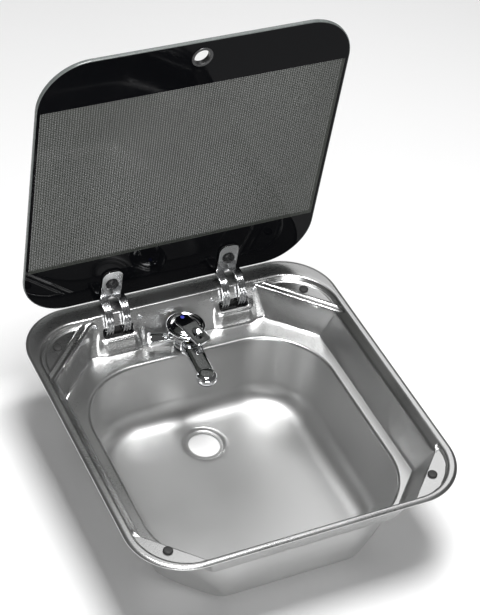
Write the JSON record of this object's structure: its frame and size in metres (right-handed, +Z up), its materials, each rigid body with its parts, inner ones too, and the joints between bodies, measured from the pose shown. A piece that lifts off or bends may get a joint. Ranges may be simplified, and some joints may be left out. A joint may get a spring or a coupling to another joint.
{
  "type": "caravan sink with glass lid",
  "caption": "Drop-in pressed steel sink for a caravan, with a sunk deck, a hinged glass lid on gooseneck hinges and a low single-lever mixer tap that the lid closes over.",
  "frame": {"origin": "middle of the rim's outline, in the plane of the worktop surface that the rim rests on", "axes": "+X to the right seen from the user's side, +Y towards the hinges, +Z up; the lid stands open"},
  "size_m": [0.42, 0.4475, 0.5432],
  "materials": {
    "brushed_steel": "satin brushed stainless steel",
    "hinge_chrome": "bright polished steel",
    "tap_chrome": "mirror chrome plate",
    "printed_glass": "tempered glass, back printed black with a dot grid",
    "rubber": "black rubber",
    "grommet_rubber": "grey moulded rubber",
    "black_plastic": "black moulded plastic",
    "glide_plastic": "white low-friction plastic",
    "brass": "machined brass",
    "zinc_steel": "plain zinc-plated steel",
    "dot_enamel": "glossy two-tone dot"
  },
  "bodies": {
    "sink": {"sink_bowl": "brushed_steel", "flange_seal": "rubber", "lid_buffer_back_left": "rubber", "lid_buffer_back_right": "rubber", "lid_buffer_front_left": "rubber", "lid_buffer_front_right": "rubber", "rivet_left_outer": "zinc_steel", "rivet_left_inner": "zinc_steel", "rivet_right_inner": "zinc_steel", "rivet_right_outer": "zinc_steel", "hinge_housing_left": "black_plastic", "hinge_pin_left": "zinc_steel", "friction_washer_outer_left": "glide_plastic", "friction_washer_inner_left": "glide_plastic", "hinge_housing_right": "black_plastic", "hinge_pin_right": "zinc_steel", "friction_washer_outer_right": "glide_plastic", "friction_washer_inner_right": "glide_plastic", "tap_gasket": "rubber", "tap_base_plate": "tap_chrome", "tap_glide_ring": "glide_plastic", "tap_body": "tap_chrome", "tap_shank": "brass", "tap_rubber_washer": "rubber", "tap_backing_plate": "zinc_steel", "tap_nut": "brass", "cartridge_body": "glide_plastic", "cartridge_nut": "brass"},
    "lid": {"glass_lid": "printed_glass", "finger_grommet": "grommet_rubber", "lid_clamp_left": "hinge_chrome", "clamp_front_pad_left": "rubber", "clamp_back_pad_left": "rubber", "clamp_back_plate_left": "zinc_steel", "clamp_screw_left": "black_plastic", "clamp_nut_left": "zinc_steel", "gooseneck_arm_outer_left": "hinge_chrome", "gooseneck_arm_inner_left": "hinge_chrome", "lid_clamp_right": "hinge_chrome", "clamp_front_pad_right": "rubber", "clamp_back_pad_right": "rubber", "clamp_back_plate_right": "zinc_steel", "clamp_screw_right": "black_plastic", "clamp_nut_right": "zinc_steel", "gooseneck_arm_outer_right": "hinge_chrome", "gooseneck_arm_inner_right": "hinge_chrome"},
    "spout": {"tap_spout": "tap_chrome", "tap_aerator": "black_plastic"},
    "lever_stem": {"cartridge_stem": "brass"},
    "lever": {"tap_lever": "tap_chrome", "lever_dot": "dot_enamel"}
  },
  "joints": [
    {"name": "lid_swing", "type": "hinge", "parent": "sink", "child": "lid", "pos_m": [0, 0.20408, -0.01167], "axis": [1, 0, 0], "range_deg": [0, 85.54]},
    {"name": "spout_swivel", "type": "hinge", "parent": "sink", "child": "spout", "pos_m": [0, 0.153, -0.044], "axis": [0, 0, 1], "range_deg": [-25, 25]},
    {"name": "lever_turn", "type": "hinge", "parent": "sink", "child": "lever_stem", "pos_m": [0, 0.153, -0.044], "axis": [0, 0, 1], "range_deg": [-66, 24]},
    {"name": "lever_lift", "type": "hinge", "parent": "lever_stem", "child": "lever", "pos_m": [0, 0.153, -0.016], "axis": [-0.9511, -0.309, 0], "range_deg": [0, 15]}
  ]
}
